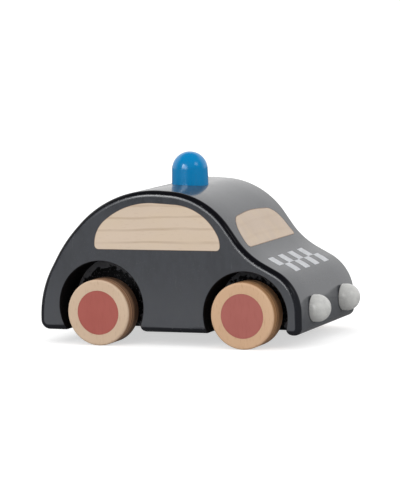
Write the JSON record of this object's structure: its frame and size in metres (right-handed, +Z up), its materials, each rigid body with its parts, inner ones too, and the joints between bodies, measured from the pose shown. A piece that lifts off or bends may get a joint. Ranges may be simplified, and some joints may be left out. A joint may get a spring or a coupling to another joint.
{
  "type": "toy police car",
  "caption": "Small painted wooden police car for pretend play, with free-rolling turned wheels, a round roof beacon, domed headlights and bare wood windows.",
  "frame": {"origin": "on the ground under the middle of the car, where its wheels stand", "axes": "+X forward through the nose, +Y to the car's left along the axles, +Z up"},
  "size_m": [0.1708, 0.106, 0.1076],
  "materials": {
    "body_paint": "satin charcoal paint",
    "bare_wood": "sanded bare beech",
    "turned_wood": "sanded turned beech",
    "hub_red": "matt red paint",
    "beacon_blue": "gloss blue paint",
    "lamp_grey": "satin silver-grey paint",
    "bush_wood": "plain turned beech"
  },
  "bodies": {
    "car_body": {"body_core": "body_paint", "body_side_right": "body_paint", "body_side_left": "body_paint", "windshield": "bare_wood", "rear_window": "bare_wood", "side_window_right": "bare_wood", "side_window_left": "bare_wood", "roof_beacon": "beacon_blue", "headlight_right": "lamp_grey", "headlight_left": "lamp_grey", "front_bush_right": "bush_wood", "front_bush_left": "bush_wood", "rear_bush_right": "bush_wood", "rear_bush_left": "bush_wood"},
    "front_wheelset": {"front_axle": "turned_wood", "front_wheel_right": "turned_wood", "front_wheel_left": "turned_wood", "front_hub_right": "hub_red", "front_hub_left": "hub_red"},
    "rear_wheelset": {"rear_axle": "turned_wood", "rear_wheel_right": "turned_wood", "rear_wheel_left": "turned_wood", "rear_hub_right": "hub_red", "rear_hub_left": "hub_red"}
  },
  "joints": [
    {"name": "front_axle_spin", "type": "hinge", "parent": "car_body", "child": "front_wheelset", "pos_m": [0.0424, 0, 0.019], "axis": [0, 1, 0], "continuous": true},
    {"name": "rear_axle_spin", "type": "hinge", "parent": "car_body", "child": "rear_wheelset", "pos_m": [-0.0459, 0, 0.019], "axis": [0, 1, 0], "continuous": true}
  ]
}
